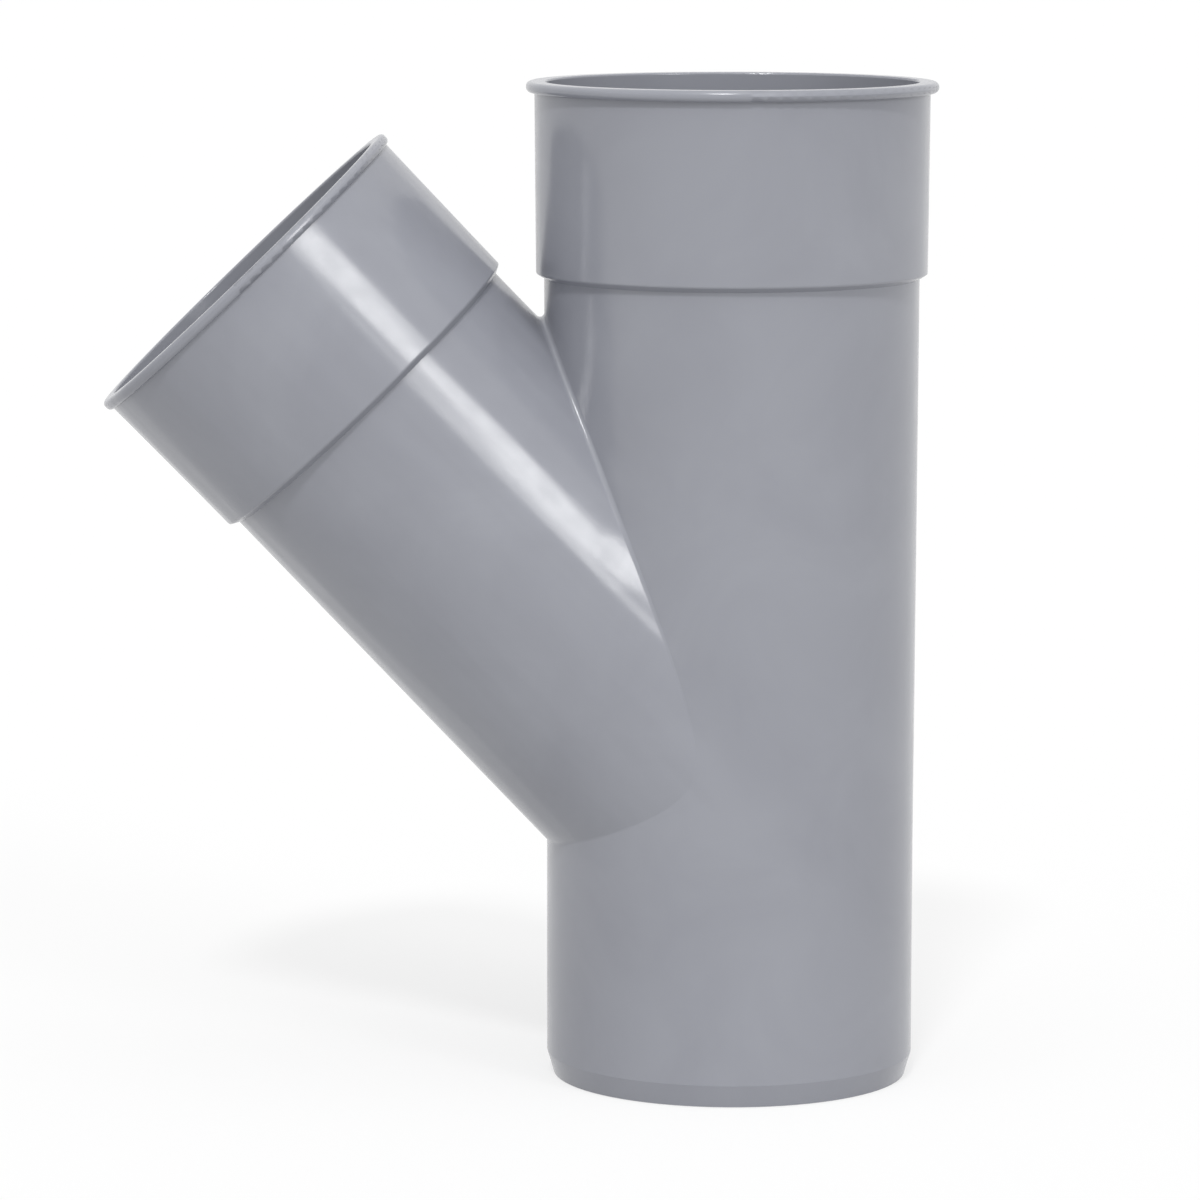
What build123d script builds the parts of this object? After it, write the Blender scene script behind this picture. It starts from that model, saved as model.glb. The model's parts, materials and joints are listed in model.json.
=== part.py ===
# Lateral wye fitting for 110 mm drain pipe, moulded in one piece.
# The run stands on its spigot end along +Z and carries a beaded socket at the top.
# The branch leaves the run towards -X and +Z and ends in a second beaded socket.
# Origin: centre of the spigot end. Units: millimetres.

import os
from math import cos, radians, sin

from build123d import *

# Run: the straight spigot has the pipe's own size, the body above it widens slightly
spigot_radius = 55.0
spigot_length = 68.0
spigot_wall = 3.2
spigot_chamfer_width = 2.0
spigot_chamfer_height = 6.7
run_taper = 0.8

# Run socket
run_bore_clearance = 0.3
run_bore_depth = 54.3
run_root_wall = 2.9
run_mouth_wall = 3.35
run_bead_reach = 2.5

# Branch: a little slimmer than the run, narrowing towards its socket
branch_angle = 43.8
branch_inset = 1.2
branch_taper = 0.7
branch_wall = 3.1

# Branch socket
branch_bore_clearance = 0.1
branch_bore_depth = 49.4
branch_root_wall = 2.6
branch_mouth_wall = 3.05
branch_bead_reach = 1.45

# Free lengths between the branch and the spigot, and from the crotch to each socket
spigot_to_branch = 3.1
crotch_to_run_socket = 15.0
crotch_to_branch_socket = 22.7

# Details that both sockets share
ledge_thickness = 2.5
shoulder_height = 1.5
shoulder_rounding = 0.7
bead_height = 3.3
bead_flat = 0.2
mouth_rounding = 0.6

# Roundings where the branch meets the run, outside and in the passage
crease_rounding = 1.3
passage_rounding = 0.8

# How far the cuts for the inside run past the open ends
cut_overrun = 2.0

# Radii that follow from the pipe, the clearances and the walls
run_top_radius = spigot_radius + run_taper
run_passage_radius = spigot_radius - spigot_wall
run_bore_radius = spigot_radius + run_bore_clearance
run_root_radius = run_bore_radius + run_root_wall
run_mouth_radius = run_bore_radius + run_mouth_wall
run_bead_radius = run_mouth_radius + run_bead_reach
branch_start_radius = spigot_radius - branch_inset
branch_end_radius = branch_start_radius - branch_taper
branch_passage_radius = branch_end_radius - branch_wall
branch_bore_radius = branch_end_radius + branch_bore_clearance
branch_root_radius = branch_bore_radius + branch_root_wall
branch_mouth_radius = branch_bore_radius + branch_mouth_wall
branch_bead_radius = branch_mouth_radius + branch_bead_reach

# Beads, rounded all round but for the flat on the crest, as far as their reach allows
run_bead_rounding = (min(bead_height, 2 * run_bead_reach) - bead_flat) / 2
branch_bead_rounding = (min(bead_height, 2 * branch_bead_reach) - bead_flat) / 2

# Crotches, where the side outlines of run and branch meet, from the crossing of the axes
branch_tilt = radians(branch_angle)
lower_crotch_drop = (branch_start_radius - spigot_radius * cos(branch_tilt)) / sin(branch_tilt)
upper_crotch_rise = (branch_start_radius + spigot_radius * cos(branch_tilt)) / sin(branch_tilt)
upper_crotch_reach = (spigot_radius + branch_start_radius * cos(branch_tilt)) / sin(branch_tilt)

# Places along the run, from the spigot end
crossing_height = spigot_length + spigot_to_branch + lower_crotch_drop
run_shoulder = crossing_height + upper_crotch_rise + crotch_to_run_socket
run_stop = run_shoulder + ledge_thickness
run_height = run_stop + run_bore_depth

# Places along the branch, from the crossing of the axes
branch_shoulder = upper_crotch_reach + crotch_to_branch_socket
branch_stop = branch_shoulder + ledge_thickness
branch_length = branch_stop + branch_bore_depth

# The branch sketches lie in the plane of both axes, with their y along the branch
crossing = Vector(0, 0, crossing_height)
across_branch = Vector(cos(branch_tilt), 0, sin(branch_tilt))
along_branch = Vector(-sin(branch_tilt), 0, cos(branch_tilt))
branch_plane = Plane(origin=crossing, x_dir=across_branch, z_dir=(0, -1, 0))
branch_axis = Axis(crossing, along_branch)


def rims(axis, radius):
    """Circular edges of the fitting that turn about the given axis at the given radius."""
    circles = wye_body.edges().filter_by(GeomType.CIRCLE)
    turning = circles.filter_by(lambda edge: abs(edge.normal().dot(axis.direction)) > 0.99)
    return turning.filter_by(lambda edge: abs(edge.radius - radius) < 0.01)


with BuildPart() as wye_body:
    # Outside of the run: chamfered spigot, tapered body, socket and bead
    with BuildSketch(Plane.XZ):
        with BuildLine():
            Polyline(
                (0, 0),
                (spigot_radius - spigot_chamfer_width, 0),
                (spigot_radius, spigot_chamfer_height),
                (spigot_radius, spigot_length),
                (run_top_radius, run_shoulder - shoulder_height),
                (run_root_radius, run_shoulder),
                (run_mouth_radius, run_height - bead_height),
                (run_bead_radius, run_height - bead_height),
                (run_bead_radius, run_height),
                (0, run_height),
                close=True,
            )
        make_face()
    revolve(axis=Axis.Z)

    # Outside of the branch: tapered body, socket and bead
    with BuildSketch(branch_plane):
        with BuildLine():
            Polyline(
                (0, 0),
                (branch_start_radius, 0),
                (branch_end_radius, branch_shoulder - shoulder_height),
                (branch_root_radius, branch_shoulder),
                (branch_mouth_radius, branch_length - bead_height),
                (branch_bead_radius, branch_length - bead_height),
                (branch_bead_radius, branch_length),
                (0, branch_length),
                close=True,
            )
        make_face()
    revolve(axis=branch_axis)
    crease = wye_body.edges().filter_by(GeomType.BSPLINE)
    fillet(crease, crease_rounding)
    fillet(rims(Axis.Z, run_root_radius), shoulder_rounding)
    fillet(rims(Axis.Z, run_bead_radius), run_bead_rounding)
    fillet(rims(branch_axis, branch_root_radius), shoulder_rounding)
    fillet(rims(branch_axis, branch_bead_radius), branch_bead_rounding)

    # Inside of the run: through passage, ledge that stops the pipe, and bore
    with BuildSketch(Plane.XZ):
        with BuildLine():
            Polyline(
                (0, -cut_overrun),
                (run_passage_radius, -cut_overrun),
                (run_passage_radius, run_stop),
                (run_bore_radius, run_stop),
                (run_bore_radius, run_height + cut_overrun),
                (0, run_height + cut_overrun),
                close=True,
            )
        make_face()
    revolve(axis=Axis.Z, mode=Mode.SUBTRACT)

    # Inside of the branch: passage from the run, ledge and bore
    with BuildSketch(branch_plane):
        with BuildLine():
            Polyline(
                (0, 0),
                (branch_passage_radius, 0),
                (branch_passage_radius, branch_stop),
                (branch_bore_radius, branch_stop),
                (branch_bore_radius, branch_length + cut_overrun),
                (0, branch_length + cut_overrun),
                close=True,
            )
        make_face()
    revolve(axis=branch_axis, mode=Mode.SUBTRACT)
    passage_edge = wye_body.edges(Select.LAST).filter_by(GeomType.BSPLINE)
    fillet(passage_edge, passage_rounding)
    run_mouth = rims(Axis.Z, run_bore_radius).sort_by(Axis.Z)[-1]
    branch_mouth = rims(branch_axis, branch_bore_radius).sort_by(branch_axis)[-1]
    fillet([run_mouth, branch_mouth], mouth_rounding)

os.makedirs("parts", exist_ok=True)
wye_body.part.label = "wye_body"
export_step(wye_body.part, "parts/wye_body.step")
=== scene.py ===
import json
import math

import bpy
from mathutils import Matrix, Vector

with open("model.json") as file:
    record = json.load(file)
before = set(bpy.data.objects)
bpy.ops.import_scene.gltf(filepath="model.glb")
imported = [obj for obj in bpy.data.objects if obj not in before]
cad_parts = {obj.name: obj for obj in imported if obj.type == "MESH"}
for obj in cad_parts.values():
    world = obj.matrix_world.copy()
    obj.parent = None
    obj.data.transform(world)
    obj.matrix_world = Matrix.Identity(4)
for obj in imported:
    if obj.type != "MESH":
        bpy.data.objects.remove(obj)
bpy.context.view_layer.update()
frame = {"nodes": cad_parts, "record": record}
scene = bpy.context.scene
body = frame["nodes"]["wye_body"]
mounts = {mount["name"]: mount for mount in frame["record"]["mounts"]}
run_axis = Vector(mounts["run_socket"]["axis"])
branch_axis = Vector(mounts["branch_socket"]["axis"])
branch_place = Vector(mounts["branch_socket"]["pos_m"])
crossing = branch_place - branch_axis * (branch_place.x / branch_axis.x)

# Lengths are in metres, angles in degrees, and colours linear, unless a comment says otherwise

# Moulded PVC
PVC_DARK = (0.274, 0.282, 0.318, 1.0)
PVC_LIGHT = (0.302, 0.311, 0.348, 1.0)
PVC_IOR = 1.53
PVC_ROUGHNESS = (0.17, 0.23)
RUN_FLOW = (0.42, 0.58)
FLOW_STRETCH = 9.0
CREASE_BLEND = 0.003

# Camera, fitted to the photo's outlines, rims, shoulders and crease
PHOTO_PIXELS = 1200.0
FOCAL_PIXELS = 5877.98
SENSOR_MILLIMETRES = 36.0
CAMERA_TARGET = Vector((0.0, 0.0, 0.093047))
CAMERA_DISTANCE = 1.76881
CAMERA_AZIMUTH, CAMERA_ELEVATION = -2.8759, 9.3652
YAW, PITCH, ROLL = -1.2725, -1.6071, -0.2519
NEAREST, FARTHEST = 0.05, 200.0

# Studio
WHITE = (1.0, 1.0, 1.0, 1.0)
BACKDROP_LEVEL = 0.99
FLOOR_DROP = 0.0002
LAMP_DISTANCE = 3.0


def new_tree(owner):
    """Empty node tree of a material or a world."""
    owner.use_nodes = True
    owner.node_tree.nodes.clear()
    return owner.node_tree


def add(tree, kind, **settings):
    """New shader node with the given settings."""
    node = tree.nodes.new(kind)
    for name, value in settings.items():
        setattr(node, name, value)
    return node


def noise(tree, coords, scale, detail, roughness=0.5, distortion=0.0):
    """Noise in the given coordinates; scale is in features per metre."""
    node = add(tree, "ShaderNodeTexNoise")
    node.inputs["Scale"].default_value = scale
    node.inputs["Detail"].default_value = detail
    node.inputs["Roughness"].default_value = roughness
    node.inputs["Distortion"].default_value = distortion
    tree.links.new(coords, node.inputs["Vector"])
    return node.outputs["Fac"]


def remap(tree, value, old_range, new_range):
    """Linear map of a value from one range to another, clamped."""
    node = add(tree, "ShaderNodeMapRange")
    names = ("From Min", "From Max", "To Min", "To Max")
    for name, number in zip(names, (*old_range, *new_range)):
        node.inputs[name].default_value = number
    tree.links.new(value, node.inputs["Value"])
    return node.outputs["Result"]


def socket(sockets, kind, name):
    """The socket of a mix node that has the given type and name."""
    return next(each for each in sockets if each.type == kind and each.name == name)


def mix_colours(tree, factor, first, second):
    """Colour between two constant ones."""
    node = add(tree, "ShaderNodeMix", data_type="RGBA")
    tree.links.new(factor, node.inputs["Factor"])
    socket(node.inputs, "RGBA", "A").default_value = first
    socket(node.inputs, "RGBA", "B").default_value = second
    return socket(node.outputs, "RGBA", "Result")


def mix_values(tree, factor, first, second):
    """Value between two others."""
    node = add(tree, "ShaderNodeMix", data_type="FLOAT")
    tree.links.new(factor, node.inputs["Factor"])
    tree.links.new(first, socket(node.inputs, "VALUE", "A"))
    tree.links.new(second, socket(node.inputs, "VALUE", "B"))
    return socket(node.outputs, "VALUE", "Result")


def bump(tree, height, distance, strength, below=None):
    """Bump of the given height in metres, over another bump if one is given."""
    node = add(tree, "ShaderNodeBump")
    node.inputs["Distance"].default_value = distance
    node.inputs["Strength"].default_value = strength
    tree.links.new(height, node.inputs["Height"])
    if below is not None:
        tree.links.new(below, node.inputs["Normal"])
    return node.outputs["Normal"]


def drawn_out(tree, coords, axis, stretch):
    """Coordinates that draw a texture out along an axis in the XZ plane."""
    node = add(tree, "ShaderNodeMapping", vector_type="TEXTURE")
    node.inputs["Rotation"].default_value = (0.0, math.atan2(axis.x, axis.z), 0.0)
    node.inputs["Scale"].default_value = (1.0, 1.0, stretch)
    tree.links.new(coords, node.inputs["Vector"])
    return node.outputs["Vector"]


def side_of_crossing(tree, coords, normal):
    """0 behind the plane through the crossing of both axes, 1 in front of it."""
    offset = add(tree, "ShaderNodeVectorMath", operation="SUBTRACT")
    offset.inputs[1].default_value = crossing
    tree.links.new(coords, offset.inputs[0])
    distance = add(tree, "ShaderNodeVectorMath", operation="DOT_PRODUCT")
    distance.inputs[1].default_value = normal.normalized()
    tree.links.new(offset.outputs["Vector"], distance.inputs[0])
    return remap(tree, distance.outputs["Value"], (-CREASE_BLEND, CREASE_BLEND), (0.0, 1.0))


def branch_mask(tree, coords):
    """1 on the branch and 0 on the run: the crease lies in two planes through the crossing."""
    both = add(tree, "ShaderNodeMath", operation="MULTIPLY")
    for index, normal in enumerate((branch_axis - run_axis, branch_axis + run_axis)):
        tree.links.new(side_of_crossing(tree, coords, normal), both.inputs[index])
    return both.outputs[0]


def pvc_material():
    """Grey injection-moulded PVC: soft gloss, fine mould texture, faint flow marks."""
    material = bpy.data.materials.new("grey_pvc_moulded")
    tree = new_tree(material)
    coords = add(tree, "ShaderNodeTexCoord").outputs["Object"]
    shader = add(tree, "ShaderNodeBsdfPrincipled")
    output = add(tree, "ShaderNodeOutputMaterial")
    tree.links.new(shader.outputs["BSDF"], output.inputs["Surface"])
    shader.inputs["IOR"].default_value = PVC_IOR

    # Clouds of lighter and darker grey, and patches with more and less gloss
    clouds = noise(tree, coords, scale=22.0, detail=4.0, roughness=0.55, distortion=0.6)
    clouds = remap(tree, clouds, (0.32, 0.68), (0.0, 1.0))
    tree.links.new(mix_colours(tree, clouds, PVC_DARK, PVC_LIGHT), shader.inputs["Base Color"])
    satin = noise(tree, coords, scale=140.0, detail=4.0, roughness=0.6)
    satin = remap(tree, satin, (0.3, 0.7), PVC_ROUGHNESS)
    tree.links.new(satin, shader.inputs["Roughness"])

    # Flow marks drawn out along each arm, fainter on the run
    along_run = drawn_out(tree, coords, run_axis, FLOW_STRETCH)
    run_flow = noise(tree, along_run, scale=60.0, detail=1.5)
    run_flow = remap(tree, run_flow, (0.0, 1.0), RUN_FLOW)
    along_branch = drawn_out(tree, coords, branch_axis, FLOW_STRETCH)
    branch_flow = noise(tree, along_branch, scale=75.0, detail=1.5)
    flow = mix_values(tree, branch_mask(tree, coords), run_flow, branch_flow)
    waves = bump(tree, flow, distance=0.0010, strength=0.8)

    # Fine grain of the mould over them
    grain = noise(tree, coords, scale=1500.0, detail=3.0, roughness=0.6)
    surface = bump(tree, grain, distance=0.00003, strength=0.30, below=waves)
    tree.links.new(surface, shader.inputs["Normal"])
    return material


def seen_directly(tree):
    """1 for rays from the camera, from a mirror and through glass."""
    rays = add(tree, "ShaderNodeLightPath")
    camera_or_gloss = add(tree, "ShaderNodeMath", operation="MAXIMUM")
    tree.links.new(rays.outputs["Is Camera Ray"], camera_or_gloss.inputs[0])
    tree.links.new(rays.outputs["Is Glossy Ray"], camera_or_gloss.inputs[1])
    any_of_them = add(tree, "ShaderNodeMath", operation="MAXIMUM")
    tree.links.new(camera_or_gloss.outputs[0], any_of_them.inputs[0])
    tree.links.new(rays.outputs["Is Transmission Ray"], any_of_them.inputs[1])
    return any_of_them.outputs[0]


def lit_and_seen(tree, lit, seen):
    """Shader that lights the object as the first one and looks like the second one."""
    choose = add(tree, "ShaderNodeMixShader")
    tree.links.new(seen_directly(tree), choose.inputs["Fac"])
    tree.links.new(lit.outputs[0], choose.inputs[1])
    tree.links.new(seen.outputs[0], choose.inputs[2])
    return choose.outputs[0]


def world_light(ambient):
    """Even white surroundings that look white behind the object."""
    world = bpy.data.worlds.new("studio")
    scene.world = world
    tree = new_tree(world)
    light, backdrop = (add(tree, "ShaderNodeBackground") for _ in range(2))
    for node, level in ((light, ambient), (backdrop, BACKDROP_LEVEL)):
        node.inputs["Color"].default_value = WHITE
        node.inputs["Strength"].default_value = level
    output = add(tree, "ShaderNodeOutputWorld")
    tree.links.new(lit_and_seen(tree, light, backdrop), output.inputs["Surface"])


def floor_plane(half_size, bounce_albedo, seen_albedo, lift):
    """Pale floor just under the object, lifted to the white of the backdrop where it is seen."""
    h = half_size
    mesh = bpy.data.meshes.new("floor")
    corners = [(x, y, -FLOOR_DROP) for x, y in ((-h, -h), (h, -h), (h, h), (-h, h))]
    mesh.from_pydata(corners, [], [(0, 1, 2, 3)])
    plane = bpy.data.objects.new("floor", mesh)
    scene.collection.objects.link(plane)
    material = bpy.data.materials.new("floor_white")
    mesh.materials.append(material)
    tree = new_tree(material)
    bounce, shadowed = (add(tree, "ShaderNodeBsdfDiffuse") for _ in range(2))
    for node, albedo in ((bounce, bounce_albedo), (shadowed, seen_albedo)):
        node.inputs["Color"].default_value = (albedo, albedo, albedo, 1.0)
    glow = add(tree, "ShaderNodeEmission")
    glow.inputs["Color"].default_value = WHITE
    glow.inputs["Strength"].default_value = lift
    lifted = add(tree, "ShaderNodeAddShader")
    tree.links.new(shadowed.outputs[0], lifted.inputs[0])
    tree.links.new(glow.outputs[0], lifted.inputs[1])
    output = add(tree, "ShaderNodeOutputMaterial")
    tree.links.new(lit_and_seen(tree, bounce, lifted), output.inputs["Surface"])


def direction(azimuth, elevation):
    """Unit vector from the object; azimuth 0 is in front of it, and 90 on its right."""
    a, e = math.radians(azimuth), math.radians(elevation)
    return Vector((math.sin(a) * math.cos(e), -math.cos(a) * math.cos(e), math.sin(e)))


def studio_light(name, azimuth, elevation, strength, width):
    """Lamp that looks like an even disc in the sky, width degrees across."""
    lamp = bpy.data.lights.new(name, "SUN")
    lamp.energy = strength
    lamp.angle = math.radians(width)
    light = bpy.data.objects.new(name, lamp)
    towards = direction(azimuth, elevation)
    light.location = towards * LAMP_DISTANCE
    light.rotation_mode = "QUATERNION"
    light.rotation_quaternion = (-towards).to_track_quat("-Z", "Y")
    scene.collection.objects.link(light)


def photo_camera():
    """Camera at the photograph's place, turned as it was."""
    back = direction(CAMERA_AZIMUTH, CAMERA_ELEVATION)
    right = (-back).cross(Vector((0.0, 0.0, 1.0))).normalized()
    up = right.cross(-back)
    yaw, pitch, roll = (math.radians(angle) for angle in (YAW, PITCH, ROLL))
    turn = Matrix.Rotation(roll, 3, "Z") @ Matrix.Rotation(pitch, 3, "X")
    turn = turn @ Matrix.Rotation(yaw, 3, "Y") @ Matrix((right, up, back))
    place = Matrix.Translation(CAMERA_TARGET + back * CAMERA_DISTANCE)
    data = bpy.data.cameras.new("camera")
    data.sensor_width = SENSOR_MILLIMETRES
    data.lens = FOCAL_PIXELS / PHOTO_PIXELS * SENSOR_MILLIMETRES
    data.clip_start, data.clip_end = NEAREST, FARTHEST
    camera = bpy.data.objects.new("camera", data)
    camera.matrix_world = place @ turn.transposed().to_4x4()
    scene.collection.objects.link(camera)
    scene.camera = camera


scene.view_settings.view_transform = "Standard"
photo_camera()
world_light(ambient=0.56)
floor_plane(half_size=30.0, bounce_albedo=0.62, seen_albedo=0.30, lift=0.685)

# The key makes the highlight on the branch, with a brighter middle. The fill is seen in the
# branch, and that again in the run, as the bright line on the run's left side.
studio_light("key", azimuth=38.0, elevation=24.0, strength=0.50, width=20.0)
studio_light("key_core", azimuth=38.0, elevation=24.0, strength=0.16, width=9.0)
studio_light("fill", azimuth=-10.0, elevation=48.0, strength=1.05, width=7.0)
studio_light("soft", azimuth=-40.0, elevation=35.0, strength=0.21, width=80.0)
studio_light("low", azimuth=-60.0, elevation=6.0, strength=0.12, width=55.0)
studio_light("top", azimuth=25.0, elevation=72.0, strength=0.40, width=45.0)

pvc = pvc_material()
for slot in body.material_slots:
    slot.material = pvc
